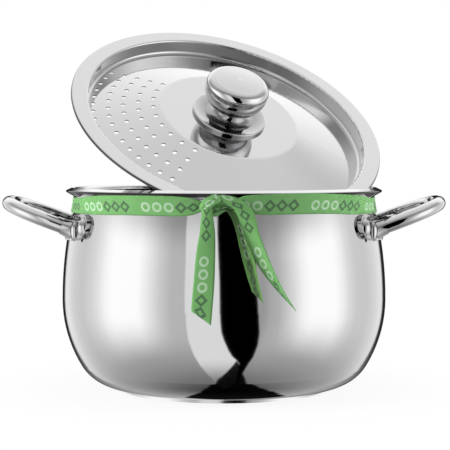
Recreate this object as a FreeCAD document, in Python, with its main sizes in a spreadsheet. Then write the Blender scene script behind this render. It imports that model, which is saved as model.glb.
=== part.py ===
"""Belly pot for pasta, with two loop handles, a strainer lid leaning in its mouth and a tied ribbon.

The pot stands on the XY plane with its axis on Z.  The lid leans toward the front, which is -Y.
"""
import FreeCAD
import Part
import Sketcher
import math
import os

document = FreeCAD.newDocument("PastaPot")
sheet = document.addObject("Spreadsheet::Sheet", "Sizes")
derived = document.addObject("Spreadsheet::Sheet", "Derived")

SIZES = [
    ("mouth_radius", 109.2, "inside radius of the neck"),
    ("wall", 0.8, "sheet thickness of the pot"),
    ("belly_bulge", 9.0, "how far the belly stands out past the neck"),
    ("belly_height", 66.5, "height of the widest ring"),
    ("neck_length", 8.5, "upright part of the wall up to the rim"),
    ("rim_height", 148.0, "height of the top of the rim"),
    ("bottom_inset", 40.7, "from the belly in to the flat part of the bottom"),
    ("bottom_corner_radius", 31.6, "rounding between bottom and side"),
    ("neck_blend_radius", 22.0, "hollow rounding under the neck"),
    ("lip_bend_radius", 2.0, "rounding of the wall into the lip"),
    ("lip_run", 3.7, "run of the sloping top of the lip"),
    ("lip_fall", 1.8, "fall of the sloping top of the lip"),
    ("lip_edge_height", 1.5, "height of the rounded edge of the lip"),
    ("lip_edge_radius", 0.85, "rounding of the edge of the lip"),
    ("flare_drop", 6.5, "start of the flare under the lip, below the rim"),
    ("base_inset", 1.2, "edge of the flat bottom left free round the base"),
    ("base_thickness", 2.6, "height of the capsule base"),
    ("base_cap_gauge", 0.6, "sheet thickness of the base cap"),
    ("bar_diameter", 10.2, "thickness of the handle bar"),
    ("handle_stand", 43.7, "from the belly to the outside of a handle"),
    ("handle_spread", 80.0, "between the two legs of a handle"),
    ("handle_bend_radius", 36.0, "bend of the handle bar"),
    ("handle_rise_angle", 20.5, "slope of the handle above level"),
    ("foot_length", 44.0, "length of a handle foot along the wall"),
    ("foot_height", 16.5, "height of a handle foot"),
    ("foot_thickness", 3.0, "thickness of a handle foot"),
    ("foot_corner_radius", 8.0, "rounding of the foot ends"),
    ("foot_heading", 24.0, "direction of a foot round the pot, from the handle"),
    ("foot_lift", 2.6, "middle of a foot above the bar"),
    ("foot_slope_angle", 6.0, "rise of a foot toward its far end"),
    ("foot_clearance", 1.2, "room between a foot and the ribbon"),
    ("dome_heading", 32.0, "direction of the dome on a foot"),
    ("dome_width", 10.0, "width of the dome along the wall"),
    ("dome_height", 15.0, "height of the dome"),
    ("dome_stand", 6.2, "how far the dome stands out from the wall"),
    ("bead_heading", 27.0, "direction of the bead on a foot"),
    ("bead_width", 7.0, "width of the bead"),
    ("bead_height", 14.5, "height of the bead"),
    ("bead_stand", 3.4, "how far the bead stands out from the foot"),
    ("bead_groove", 1.4, "width of the groove along the bead"),
    ("bead_web", 0.9, "metal left under the groove"),
    ("ferrule_length", 9.0, "length of the ferrule at the end of a bar"),
    ("ferrule_flare", 1.9, "how far the ferrule widens toward the pot"),
    ("ferrule_gauge", 0.5, "thickness of the ferrule at its thin end"),
    ("ferrule_sweep_radius", 30.0, "hollow curve of the ferrule"),
    ("weld_gap", 0.15, "seam between pieces welded to the wall"),
    ("slip_gap", 0.1, "play of a ring on a bar or a screw in its hole"),
    ("lid_overhang", 0.76, "lid brim past the lip of the pot"),
    ("lid_play", 5.2, "between the lid recess and the neck"),
    ("lid_gauge", 0.7, "sheet thickness of the lid"),
    ("lid_depth", 11.6, "floor of the lid below its brim"),
    ("lid_floor_radius", 2.0, "rounding between the lid floor and its wall"),
    ("lid_brim_radius", 1.4, "rounding between the lid wall and its brim"),
    ("lid_curl_radius", 1.2, "rounding of the brim edge"),
    ("lid_skirt", 0.6, "straight edge under the curl of the brim"),
    ("lid_cone_angle", 15.0, "slope of the lid floor"),
    ("lid_crease_radius", 9.0, "rounding between the slope and the flat middle"),
    ("lid_middle_radius", 50.5, "radius of the flat middle of the lid"),
    ("drain_diameter", 3.3, "drain hole"),
    ("drain_inset", 5.4, "outermost row of holes from the lid wall"),
    ("drain_pitch", 10.5, "between rows of holes"),
    ("drain_span_angle", 92.0, "sector with holes"),
    ("drain_heading", 203.0, "direction of the middle of the holes"),
    ("lid_lean_angle", 36.8, "tilt of the lid"),
    ("lid_lean_heading", -65.4, "direction the low side of the lid points to"),
    ("lid_rise_share", 0.434, "middle of the lid brim above the rim, as a share of the lid radius"),
    ("lid_rest_gap", 0.4, "radial gap allowed where the lid leans on the neck"),
    ("flange_radius", 27.3, "saucer under the knob"),
    ("flange_edge", 2.7, "height of the saucer edge"),
    ("flange_middle", 1.0, "thickness of the saucer in the middle"),
    ("flange_flat_radius", 18.8, "flat middle of the saucer"),
    ("flange_edge_radius", 0.9, "rounding of the saucer edge"),
    ("stem_foot_radius", 17.6, "foot of the knob stem"),
    ("stem_foot_edge", 0.5, "edge of the stem foot"),
    ("stem_radius", 11.0, "neck of the knob stem"),
    ("stem_height", 6.0, "height of the knob stem"),
    ("stem_sweep_radius", 7.0, "hollow curve of the knob stem"),
    ("knob_radius", 23.1, "widest ring of the knob"),
    ("knob_bowl_height", 15.6, "lower half of the knob"),
    ("knob_cap_height", 10.2, "upper half of the knob"),
    ("knob_crown", 1.3, "rise of the knob top"),
    ("knob_shoulder_radius", 6.5, "rounding round the knob top"),
    ("knob_gauge", 0.8, "sheet thickness of the knob"),
    ("knob_seam", 0.06, "seam round the knob"),
    ("bush_radius", 6.0, "threaded bush inside the knob"),
    ("bush_height", 8.0, "length of the threaded bush"),
    ("screw_radius", 2.5, "shank of the knob screw"),
    ("screw_head_radius", 4.7, "head of the knob screw"),
    ("screw_head_height", 2.8, "height of the screw head"),
    ("screw_dome", 1.1, "rounding of the screw head"),
    ("slot_width", 1.2, "slot in the screw head"),
    ("slot_depth", 1.3, "depth of the slot"),
    ("washer_radius", 7.5, "washer under the lid"),
    ("washer_thickness", 1.2, "thickness of the washer"),
    ("ribbon_width", 13.0, "width of the ribbon"),
    ("band_width", 10.1, "width of the band between the lip and the handles"),
    ("ribbon_gauge", 0.4, "thickness of the ribbon"),
    ("ribbon_drop", 6.6, "top of the band below the rim"),
    ("ribbon_gap", 0.25, "air between ribbon and wall"),
    ("tail_gap", 0.7, "air between a tail and the wall"),
    ("tail_layer", 1.8, "front tail in front of the others"),
    ("tail_start", 15.5, "top of a tail below the rim"),
    ("left_tail_length", 68.5, "drop of the left tail"),
    ("middle_tail_length", 60.0, "drop of the middle tail"),
    ("right_tail_length", 65.0, "drop of the right tail"),
    ("knot_width", 19.0, "knot along the ribbon"),
    ("knot_height", 11.6, "knot up and down"),
    ("knot_thickness", 7.0, "knot front to back"),
    ("knot_side", -6.6, "knot to the side of the middle"),
    ("overrun", 30.0, "extra reach of a cutting or hidden end"),
]

COUNTS = [
    ("drain_rows", 5, "rows of drain holes"),
    ("drain_outer_count", 17, "holes in the outermost row"),
    ("drain_count_step", 2, "holes fewer in each row further in"),
]


class Size:
    """A number that keeps the sheet formula it comes from, so that it can be bound in the document."""

    def __init__(self, value, formula):
        self.value = float(value)
        self.formula = formula

    def __add__(self, other):
        return Size(self.value + number(other), f"({self.formula} + {formula(other)})")

    def __radd__(self, other):
        return Size(number(other) + self.value, f"({formula(other)} + {self.formula})")

    def __sub__(self, other):
        return Size(self.value - number(other), f"({self.formula} - {formula(other)})")

    def __rsub__(self, other):
        return Size(number(other) - self.value, f"({formula(other)} - {self.formula})")

    def __mul__(self, other):
        return Size(self.value * number(other), f"({self.formula} * {formula(other)})")

    __rmul__ = __mul__

    def __truediv__(self, other):
        return Size(self.value / number(other), f"({self.formula} / {formula(other)})")


def number(size):
    return size.value if isinstance(size, Size) else size


def formula(size):
    return size.formula if isinstance(size, Size) else repr(size)


def sine(angle):
    return Size(math.sin(math.radians(angle.value)), f"sin({angle.formula})")


def cosine(angle):
    return Size(math.cos(math.radians(angle.value)), f"cos({angle.formula})")


def tangent(angle):
    return Size(math.tan(math.radians(angle.value)), f"tan({angle.formula})")


def root(square):
    return Size(math.sqrt(square.value), f"sqrt({square.formula})")


def half(size):
    return size / 2


def squared(size):
    return size * size


driving = {}
for row, (alias, value, meaning) in enumerate(SIZES + COUNTS, start=1):
    sheet.set(f"A{row}", meaning)
    sheet.set(f"B{row}", str(value))
    sheet.setAlias(f"B{row}", alias)
    driving[alias] = Size(value, f"Sizes.{alias}")
document.recompute()


def size(alias):
    return driving[alias]


derived_names = []


def named(alias, worked_out):
    """Keeps a worked out size as a formula cell of the second sheet."""
    derived_names.append((alias, worked_out))
    cell = f"B{len(derived_names)}"
    derived.set(cell, "=" + worked_out.formula)
    derived.setAlias(cell, alias)
    return Size(worked_out.value, f"Derived.{alias}")


def plane_of(body, role):
    return next(feature for feature in body.Origin.OriginFeatures if feature.Role == role)


def bind(target, prop, worked_out):
    target.setExpression(prop, worked_out.formula)


LEFT = 1
RIGHT = -1
full_turn = 360
half_turn = 180
quarter_turn = 90


class Outline:
    """A closed outline of lines and arcs, walked corner by corner and tied to the sheets."""

    def __init__(self, x, y):
        self.corners = [(x, y)]
        self.sides = []

    def line(self, x, y):
        self.corners.append((x, y))
        self.sides.append(None)
        return self

    def arc(self, x, y, radius, turn):
        self.corners.append((x, y))
        self.sides.append((radius, turn))
        return self

    def draw(self, sketch):
        self.sides.append(None)
        count = len(self.corners)
        ends = []
        for index, side in enumerate(self.sides):
            start = vector(*self.corners[index])
            finish = vector(*self.corners[(index + 1) % count])
            if side is None:
                geometry = sketch.addGeometry(Part.LineSegment(start, finish), False)
                ends.append((geometry, 1, 2))
            else:
                radius, turn = side
                geometry = sketch.addGeometry(arc_between(start, finish, radius.value, turn), False)
                ends.append((geometry, 1, 2) if turn == LEFT else (geometry, 2, 1))
                tie(sketch, Sketcher.Constraint("Radius", geometry, radius.value), radius)
        for index, (geometry, first, last) in enumerate(ends):
            following, beginning, _ = ends[(index + 1) % count]
            sketch.addConstraint(Sketcher.Constraint("Coincident", geometry, last, following, beginning))
            for kind, axis, place in zip(("DistanceX", "DistanceY"), (-2, -1), self.corners[index]):
                if isinstance(place, Size):
                    fixed = Sketcher.Constraint(kind, -1, 1, geometry, first, place.value)
                    tie(sketch, fixed, place)
                else:
                    sketch.addConstraint(Sketcher.Constraint("PointOnObject", geometry, first, axis))


def vector(x, y, z=0):
    return FreeCAD.Vector(number(x), number(y), number(z))


def tie(sketch, constraint, worked_out):
    index = sketch.addConstraint(constraint)
    sketch.setExpression(f"Constraints[{index}]", worked_out.formula)


def arc_between(start, finish, radius, turn):
    """The short arc from one point to another that bends to the given side."""
    chord = finish - start
    across = FreeCAD.Vector(-chord.y, chord.x, 0).normalize()
    inset = math.sqrt(max(0, radius * radius - chord.Length * chord.Length / 4))
    centre = start + chord / 2 + across * (turn * inset)
    first, last = (start, finish) if turn == LEFT else (finish, start)
    angles = [math.atan2(point.y - centre.y, point.x - centre.x) for point in (first, last)]
    circle = Part.Circle(centre, FreeCAD.Vector(0, 0, 1), radius)
    return Part.ArcOfCircle(circle, angles[0], angles[1])


def add_sketch(body, name, role):
    sketch = body.newObject("Sketcher::SketchObject", name)
    sketch.AttachmentSupport = [(plane_of(body, role), "")]
    sketch.MapMode = "FlatFace"
    return sketch


def turned(label, outline):
    """A body turned about Z from an outline drawn in radius and height."""
    body = document.addObject("PartDesign::Body", label)
    body.Label = label
    sketch = add_sketch(body, label + "_outline", "XZ_Plane")
    outline.draw(sketch)
    revolution = body.newObject("PartDesign::Revolution", label + "_turned")
    revolution.Profile = sketch
    revolution.ReferenceAxis = (sketch, ["V_Axis"])
    revolution.Angle = full_turn
    return body


def difference(label, base, tool):
    cut = document.addObject("Part::Cut", label)
    cut.Label = label
    cut.Base = base
    cut.Tool = tool
    return cut


def overlap(label, base, tool):
    common = document.addObject("Part::Common", label)
    common.Label = label
    common.Base = base
    common.Tool = tool
    return common


# Worked out sizes: pot shell
wall = size("wall")
neck_radius = named("neck_radius", size("mouth_radius") + wall)
belly_radius = named("belly_radius", neck_radius + size("belly_bulge"))
belly_height = size("belly_height")
neck_height = named("neck_height", size("rim_height") - size("neck_length"))
floor_height = size("base_thickness")
flat_radius = named("flat_radius", belly_radius - size("bottom_inset"))
corner_radius = size("bottom_corner_radius")
side_height = named("side_height", belly_height - floor_height)
side_radius = named(
    "side_radius",
    (squared(size("bottom_inset")) + squared(side_height) - 2 * side_height * corner_radius)
    / (2 * (size("bottom_inset") - corner_radius)),
)
side_x = named("side_x", (side_radius - size("bottom_inset")) / (side_radius - corner_radius))
side_z = named("side_z", (corner_radius - side_height) / (side_radius - corner_radius))
blend_radius = size("neck_blend_radius")
shoulder_height = named("shoulder_height", neck_height - belly_height)
shoulder_reach = named(
    "shoulder_reach",
    (squared(size("belly_bulge")) + squared(shoulder_height)) / (2 * size("belly_bulge")),
)
shoulder_radius = named("shoulder_radius", shoulder_reach - blend_radius)
shoulder_z = named("shoulder_z", shoulder_height / shoulder_reach)
shoulder_x = named("shoulder_x", root(1 - squared(shoulder_z)))
blend_centre = named("blend_centre", neck_radius + blend_radius)
bend_radius = size("lip_bend_radius")
bend_height = named("bend_height", size("rim_height") - bend_radius - wall)
bend_centre = named("bend_centre", neck_radius + bend_radius)
lip_tip = named("lip_tip", bend_centre + size("lip_run"))
lip_height = named("lip_height", size("rim_height") - size("lip_fall"))
lip_base = named("lip_base", lip_height - size("lip_edge_height"))
flare_height = named("flare_height", size("rim_height") - size("flare_drop"))
base_radius = named("base_radius", flat_radius - size("base_inset"))
core_radius = named("core_radius", base_radius - size("base_cap_gauge"))


def side_joint(inset):
    reach = corner_radius - inset
    return flat_radius + reach * side_x, floor_height + corner_radius + reach * side_z


def shoulder_joint(offset):
    reach = blend_radius - offset
    return blend_centre - reach * shoulder_x, neck_height - reach * shoulder_z


def wall_radius(height):
    """Outside radius of the pot at a height on its shoulder or neck."""
    if height > shoulder_joint(0)[1].value:
        rise = min(0, height - neck_height.value)
        return blend_centre.value - math.sqrt(blend_radius.value ** 2 - rise * rise)
    rise = height - belly_height.value
    return belly_radius.value - shoulder_radius.value + math.sqrt(shoulder_radius.value ** 2 - rise * rise)


# Worked out sizes: ribbon
ribbon_gauge = size("ribbon_gauge")
band_top = named("band_top", size("rim_height") - size("ribbon_drop"))
band_base = named("band_base", band_top - size("band_width"))
band_rise = named("band_rise", band_base - belly_height)
band_wide = named(
    "band_wide",
    belly_radius - shoulder_radius + root(squared(shoulder_radius) - squared(band_rise)) + size("ribbon_gap"),
)
band_narrow = named("band_narrow", neck_radius + size("ribbon_gap"))

# Worked out sizes: handles, whose feet end just under the ribbon
foot_side = named("foot_side", half(size("foot_length")))
foot_top = named("foot_top", half(size("foot_height")))
foot_rise = named("foot_rise", (foot_side - size("foot_corner_radius")) * sine(size("foot_slope_angle")))
foot_level = named("foot_level", band_base - size("foot_clearance") - foot_rise - foot_top)
root_height = named("root_height", foot_level - size("foot_lift"))
foot_face_offset = named("foot_face_offset", size("weld_gap") + size("foot_thickness"))
bead_back_offset = named("bead_back_offset", foot_face_offset + size("weld_gap"))
bead_floor_offset = named("bead_floor_offset", bead_back_offset + size("bead_web"))
bar_radius = named("bar_radius", half(size("bar_diameter")))
leg_offset = named("leg_offset", half(size("handle_spread")))
rise_z = named("rise_z", sine(size("handle_rise_angle")))
rise_x = named("rise_x", cosine(size("handle_rise_angle")))
bow_length = named("bow_length", (belly_radius + size("handle_stand") - bar_radius) / rise_x)
bow_corner = named("bow_corner", bow_length - size("handle_bend_radius"))
bow_start = named("bow_start", belly_radius - size("overrun"))
bow_middle = named("bow_middle", leg_offset - size("handle_bend_radius"))
ferrule_bore = named("ferrule_bore", bar_radius + size("slip_gap"))
ferrule_thin = named("ferrule_thin", ferrule_bore + size("ferrule_gauge"))
ferrule_wide = named("ferrule_wide", ferrule_thin + size("ferrule_flare"))
ferrule_end = named("ferrule_end", size("overrun") + size("ferrule_length"))
leg_root = math.sqrt(wall_radius(root_height.value) ** 2 - leg_offset.value ** 2)
slope_drop = root_height.value - leg_root * rise_z.value / rise_x.value

# Worked out sizes: strainer lid
lid_gauge = size("lid_gauge")
lid_radius = named("lid_radius", lip_tip + size("lid_overhang"))
lid_wall = named("lid_wall", size("mouth_radius") - size("lid_play"))
lid_floor = named("lid_floor", size("lid_floor_radius") - size("lid_depth"))
cone_x = named("cone_x", sine(size("lid_cone_angle")))
cone_z = named("cone_z", cosine(size("lid_cone_angle")))
crease = size("lid_crease_radius")
floor_round = size("lid_floor_radius")
brim_round = size("lid_brim_radius")
curl = size("lid_curl_radius")
floor_centre = named("floor_centre", lid_wall - floor_round)
slope_foot = named("slope_foot", floor_centre - floor_round * cone_x)
slope_foot_z = named("slope_foot_z", lid_floor - floor_round * cone_z)
slope_top = named("slope_top", size("lid_middle_radius") + crease * cone_x)
slope_top_z = named(
    "slope_top_z", slope_foot_z + (slope_foot - slope_top) * tangent(size("lid_cone_angle"))
)
middle_height = named("middle_height", slope_top_z + crease - crease * cone_z)
screw_hole = named("screw_hole", size("screw_radius") + size("slip_gap"))
brim_inner = named("brim_inner", lid_wall + brim_round)
brim_outer = named("brim_outer", lid_radius - curl)
skirt_end = named("skirt_end", 0 - curl - size("lid_skirt"))
under_floor = named("under_floor", floor_round + lid_gauge)
under_crease = named("under_crease", crease - lid_gauge)
drain_radius = named("drain_radius", half(size("drain_diameter")))
drain_begin = named("drain_begin", size("drain_heading") - half(size("drain_span_angle")))

# Worked out sizes: knob, stacked up from the flat middle of the lid
flange_top = named("flange_top", middle_height + size("flange_edge"))
stem_base = named("stem_base", middle_height + size("flange_middle"))
bowl_base = named("bowl_base", stem_base + size("stem_height"))
knob_radius = size("knob_radius")
knob_gauge = size("knob_gauge")
bowl_height = size("knob_bowl_height")
bowl_width = named("bowl_width", knob_radius - size("stem_radius"))
bowl_round = named("bowl_round", (squared(bowl_width) + squared(bowl_height)) / (2 * bowl_width))
bowl_rim = named("bowl_rim", bowl_base + bowl_height)
bowl_inner = named("bowl_inner", bowl_round - knob_gauge)
bowl_floor = named(
    "bowl_floor",
    knob_radius - bowl_round + root(squared(bowl_inner) - squared(bowl_height - knob_gauge)),
)
cap_base = named("cap_base", bowl_rim + size("knob_seam"))
cap_top = named("cap_top", cap_base + size("knob_cap_height"))
cap_round = size("knob_shoulder_radius")
cap_shoulder = named("cap_shoulder", cap_top - size("knob_crown"))
cap_side = named("cap_side", cap_shoulder - cap_round)
crown_width = named("crown_width", knob_radius - cap_round)
crown_round = named(
    "crown_round", (squared(crown_width) + squared(size("knob_crown"))) / (2 * size("knob_crown"))
)
bush_base = named("bush_base", bowl_base + knob_gauge)
bush_top = named("bush_top", bush_base + size("bush_height"))
washer_top = named("washer_top", middle_height - lid_gauge)
washer_base = named("washer_base", washer_top - size("washer_thickness"))
head_base = named("head_base", washer_base - size("screw_head_height"))
head_dome = size("screw_dome")
dome_round = named(
    "dome_round", (squared(size("screw_head_radius")) + squared(head_dome)) / (2 * head_dome)
)
document.recompute()


# Pot shell: bottom, two side arcs, hollow neck, rolled lip
pot_shell = turned(
    "pot_shell",
    Outline(0, floor_height)
    .line(flat_radius, floor_height)
    .arc(*side_joint(0), corner_radius, LEFT)
    .arc(belly_radius, belly_height, side_radius, LEFT)
    .arc(*shoulder_joint(0), shoulder_radius, LEFT)
    .arc(neck_radius, neck_height, blend_radius, RIGHT)
    .line(neck_radius, flare_height)
    .line(lip_tip, lip_base)
    .arc(lip_tip, lip_height, size("lip_edge_radius"), LEFT)
    .line(bend_centre, size("rim_height"))
    .arc(size("mouth_radius"), bend_height, bend_radius + wall, LEFT)
    .line(size("mouth_radius"), neck_height)
    .arc(*shoulder_joint(0 - wall), blend_radius + wall, LEFT)
    .arc(belly_radius - wall, belly_height, shoulder_radius - wall, RIGHT)
    .arc(*side_joint(wall), side_radius - wall, RIGHT)
    .arc(flat_radius, floor_height + wall, corner_radius - wall, RIGHT)
    .line(0, floor_height + wall),
)


# Capsule base: a heat spreading core inside a thin steel cap
base_core = turned(
    "base_core",
    Outline(0, size("base_cap_gauge"))
    .line(core_radius, size("base_cap_gauge"))
    .line(core_radius, floor_height)
    .line(0, floor_height),
)
base_cap = turned(
    "base_cap",
    Outline(0, 0)
    .line(base_radius, 0)
    .line(base_radius, floor_height)
    .line(core_radius, floor_height)
    .line(core_radius, size("base_cap_gauge"))
    .line(0, size("base_cap_gauge")),
)


# Handle seats: copies of the shoulder of the wall, moved outward, that trim what is welded on
def wall_copy(label, offset):
    corner, top = shoulder_joint(offset)
    return turned(
        label,
        Outline(0, belly_height)
        .line(belly_radius + offset, belly_height)
        .arc(corner, top, shoulder_radius + offset, LEFT)
        .line(0, top),
    )


foot_back = wall_copy("foot_back", size("weld_gap"))
foot_face = wall_copy("foot_face", foot_face_offset)
bead_back = wall_copy("bead_back", bead_back_offset)
bead_floor = wall_copy("bead_floor", bead_floor_offset)


def block(label, length, width, height, placement):
    """A box centred in width and height that starts at its placement and runs along X."""
    box = document.addObject("Part::Box", label)
    bind(box, "Length", length)
    bind(box, "Width", width)
    bind(box, "Height", height)
    middle = FreeCAD.Placement(vector(0, -number(width) / 2, -number(height) / 2), FreeCAD.Rotation())
    box.Placement = placement.multiply(middle)
    return box


UP = FreeCAD.Vector(0, 0, 1)
ACROSS = FreeCAD.Vector(0, 1, 0)


def toward(heading, height):
    """A placement on the axis at a height, its X pointing out along a heading."""
    return FreeCAD.Placement(vector(0, 0, height), FreeCAD.Rotation(UP, heading))


def bow(label, frame):
    """The bent bar of one handle, drawn flat in its own plane and then tilted."""
    body = document.addObject("PartDesign::Body", label)
    path = add_sketch(body, label + "_path", "XY_Plane")
    stations = [
        (bow_start, 0 - leg_offset),
        (bow_corner, 0 - leg_offset),
        (bow_length, 0 - bow_middle),
        (bow_length, bow_middle),
        (bow_corner, leg_offset),
        (bow_start, leg_offset),
    ]
    bends = {1: size("handle_bend_radius"), 3: size("handle_bend_radius")}
    for index in range(len(stations) - 1):
        start, finish = vector(*stations[index]), vector(*stations[index + 1])
        if index in bends:
            path.addGeometry(arc_between(start, finish, bends[index].value, LEFT), False)
            tie(path, Sketcher.Constraint("Radius", index, bends[index].value), bends[index])
        else:
            path.addGeometry(Part.LineSegment(start, finish), False)
        for point, (x, y) in ((1, stations[index]), (2, stations[index + 1])):
            tie(path, Sketcher.Constraint("DistanceX", -1, 1, index, point, x.value), x)
            tie(path, Sketcher.Constraint("DistanceY", -1, 1, index, point, y.value), y)
    section = add_sketch(body, label + "_section", "YZ_Plane")
    section.AttachmentOffset = FreeCAD.Placement(vector(0, 0, bow_start), FreeCAD.Rotation())
    bind(section, "AttachmentOffset.Base.z", bow_start)
    ring = Part.Circle(vector(0 - leg_offset, 0), UP, bar_radius.value)
    section.addGeometry(ring, False)
    tie(section, Sketcher.Constraint("Radius", 0, bar_radius.value), bar_radius)
    section.addConstraint(Sketcher.Constraint("PointOnObject", 0, 3, -1))
    tie(section, Sketcher.Constraint("DistanceX", -1, 1, 0, 3, -leg_offset.value), 0 - leg_offset)
    pipe = body.newObject("PartDesign::AdditivePipe", label + "_bent")
    pipe.Profile = section
    pipe.Spine = path
    body.Placement = frame
    return body


def long_edges(feature):
    """The straight edges that run along X, by name."""
    names = []
    for index, edge in enumerate(feature.Shape.Edges, start=1):
        along = edge.Vertexes[-1].Point - edge.Vertexes[0].Point
        if abs(along.x) > abs(along.y) + abs(along.z):
            names.append(f"Edge{index}")
    return names


def egg(label, out, along, up, placement):
    """A rounded lump that stands out along X from its placement."""
    lump = document.addObject("Part::Ellipsoid", label)
    bind(lump, "Radius1", up)
    bind(lump, "Radius2", out)
    bind(lump, "Radius3", along)
    lump.Placement = placement
    return lump


def on_wall(heading, height, offset):
    """A placement on the wall or above it, with X pointing away from the pot."""
    reach = wall_radius(height.value) + offset
    return toward(heading, height).multiply(FreeCAD.Placement(vector(reach, 0), FreeCAD.Rotation()))


def foot(label, frame, dome_frame):
    """A foot with round ends and a dome near its far end, curved to lie on the wall."""
    body = document.addObject("PartDesign::Body", label + "_block")
    sketch = add_sketch(body, label + "_outline", "YZ_Plane")
    outline = Outline(0 - foot_side, 0 - foot_top)
    outline.line(foot_side, 0 - foot_top).line(foot_side, foot_top).line(0 - foot_side, foot_top)
    outline.draw(sketch)
    pad = body.newObject("PartDesign::Pad", label + "_pad")
    pad.Profile = sketch
    bind(pad, "Length", belly_radius + size("overrun"))
    document.recompute()
    rounding = body.newObject("PartDesign::Fillet", label + "_rounding")
    rounding.Base = (pad, long_edges(pad))
    bind(rounding, "Radius", size("foot_corner_radius"))
    body.Placement = frame
    skin = overlap(label + "_skin", body, foot_face)
    across = half(size("dome_width"))
    dome = egg(label + "_dome", size("dome_stand"), across, half(size("dome_height")), dome_frame)
    joined = document.addObject("Part::Fuse", label + "_joined")
    joined.Base = skin
    joined.Tool = dome
    return difference(label, joined, foot_back)


def bead(label, frame, seat):
    """An upright rounded bead across a foot, with a groove along its middle."""
    reach = belly_radius + size("overrun")
    across = half(size("bead_width"))
    lump = egg(label + "_lump", size("bead_stand"), across, half(size("bead_height")), seat)
    plain = difference(label + "_plain", lump, bead_back)
    tall = size("bead_height") + size("overrun")
    slit = block(label + "_slit", reach, size("bead_groove"), tall, frame)
    groove = difference(label + "_groove", slit, bead_floor)
    return difference(label, plain, groove)


def ferrule(label, frame):
    """A ring that widens toward the pot, slipped over the end of the bar."""
    ring = turned(
        label + "_ring",
        Outline(ferrule_bore, 0)
        .line(ferrule_wide, 0)
        .line(ferrule_wide, size("overrun"))
        .arc(ferrule_thin, ferrule_end, size("ferrule_sweep_radius"), RIGHT)
        .line(ferrule_bore, ferrule_end),
    )
    ring.Placement = frame
    return difference(label, ring, bead_back)


handle_nodes = []
rise_angle = size("handle_rise_angle").value
for side_name, facing in (("right", 0), ("left", half_turn)):
    turn_round = FreeCAD.Placement(FreeCAD.Vector(), FreeCAD.Rotation(UP, facing))
    tilt = FreeCAD.Placement(vector(0, 0, slope_drop), FreeCAD.Rotation(ACROSS, -rise_angle))
    bar_frame = turn_round.multiply(tilt)
    bent_bar = bow(f"{side_name}_bar", bar_frame)
    handle_nodes.append(difference(f"{side_name}_handle_bar", bent_bar, bead_back))
    for end_name, end in (("front", -1), ("rear", 1)):
        turn = end if facing == 0 else -end
        node = f"{side_name}_{end_name}"
        heading = facing + turn * size("foot_heading").value
        slope = FreeCAD.Rotation(FreeCAD.Vector(1, 0, 0), turn * size("foot_slope_angle").value)
        level = toward(heading, foot_level)
        dome_frame = on_wall(facing + turn * size("dome_heading").value, foot_level, 0)
        sloping = level.multiply(FreeCAD.Placement(vector(0, 0), slope))
        handle_nodes.append(foot(f"{node}_foot", sloping, dome_frame))
        bead_turn = facing + turn * size("bead_heading").value
        bead_seat = on_wall(bead_turn, root_height, bead_back_offset.value)
        handle_nodes.append(bead(f"{node}_bead", toward(bead_turn, root_height), bead_seat))
        leg = leg_root / rise_x.value - size("overrun").value
        upright = FreeCAD.Rotation(ACROSS, quarter_turn)
        start = FreeCAD.Placement(vector(leg, turn * leg_offset.value), upright)
        handle_nodes.append(ferrule(f"{node}_ferrule", bar_frame.multiply(start)))


# Strainer lid: flat middle, sloping floor, upright wall, brim with a curled edge
strainer_lid = turned(
    "strainer_lid",
    Outline(screw_hole, middle_height)
    .line(screw_hole, middle_height - lid_gauge)
    .line(size("lid_middle_radius"), middle_height - lid_gauge)
    .arc(
        size("lid_middle_radius") + under_crease * cone_x,
        middle_height - crease + under_crease * cone_z,
        under_crease,
        RIGHT,
    )
    .line(floor_centre - under_floor * cone_x, lid_floor - under_floor * cone_z)
    .arc(lid_wall + lid_gauge, lid_floor, under_floor, LEFT)
    .line(lid_wall + lid_gauge, 0 - brim_round)
    .arc(brim_inner, 0 - lid_gauge, brim_round - lid_gauge, RIGHT)
    .line(brim_outer, 0 - lid_gauge)
    .arc(lid_radius - lid_gauge, 0 - curl, curl - lid_gauge, RIGHT)
    .line(lid_radius - lid_gauge, skirt_end)
    .line(lid_radius, skirt_end)
    .line(lid_radius, 0 - curl)
    .arc(brim_outer, 0, curl, LEFT)
    .line(brim_inner, 0)
    .arc(lid_wall, 0 - brim_round, brim_round, LEFT)
    .line(lid_wall, lid_floor)
    .arc(slope_foot, slope_foot_z, floor_round, RIGHT)
    .line(slope_top, slope_top_z)
    .arc(size("lid_middle_radius"), middle_height, crease, LEFT),
)


def drain_row(index):
    """One row of drain holes: a round pocket and its turned copies."""
    radius = lid_wall - size("drain_inset") - index * size("drain_pitch")
    sketch = add_sketch(strainer_lid, f"drain_hole_{index}", "XY_Plane")
    x, y = radius * cosine(drain_begin), radius * sine(drain_begin)
    sketch.addGeometry(Part.Circle(vector(x, y), UP, drain_radius.value), False)
    tie(sketch, Sketcher.Constraint("Radius", 0, drain_radius.value), drain_radius)
    tie(sketch, Sketcher.Constraint("DistanceX", -1, 1, 0, 3, x.value), x)
    tie(sketch, Sketcher.Constraint("DistanceY", -1, 1, 0, 3, y.value), y)
    pocket = strainer_lid.newObject("PartDesign::Pocket", f"drain_pocket_{index}")
    pocket.Profile = sketch
    pocket.Midplane = True
    bind(pocket, "Length", 2 * size("overrun"))
    pattern = strainer_lid.newObject("PartDesign::PolarPattern", f"drain_row_{index}")
    pattern.Originals = [pocket]
    pattern.Axis = (plane_of(strainer_lid, "Z_Axis"), [""])
    bind(pattern, "Angle", size("drain_span_angle"))
    bind(pattern, "Occurrences", size("drain_outer_count") - index * size("drain_count_step"))
    strainer_lid.Tip = pattern


for row_index in range(int(size("drain_rows").value)):
    drain_row(row_index)


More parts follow.
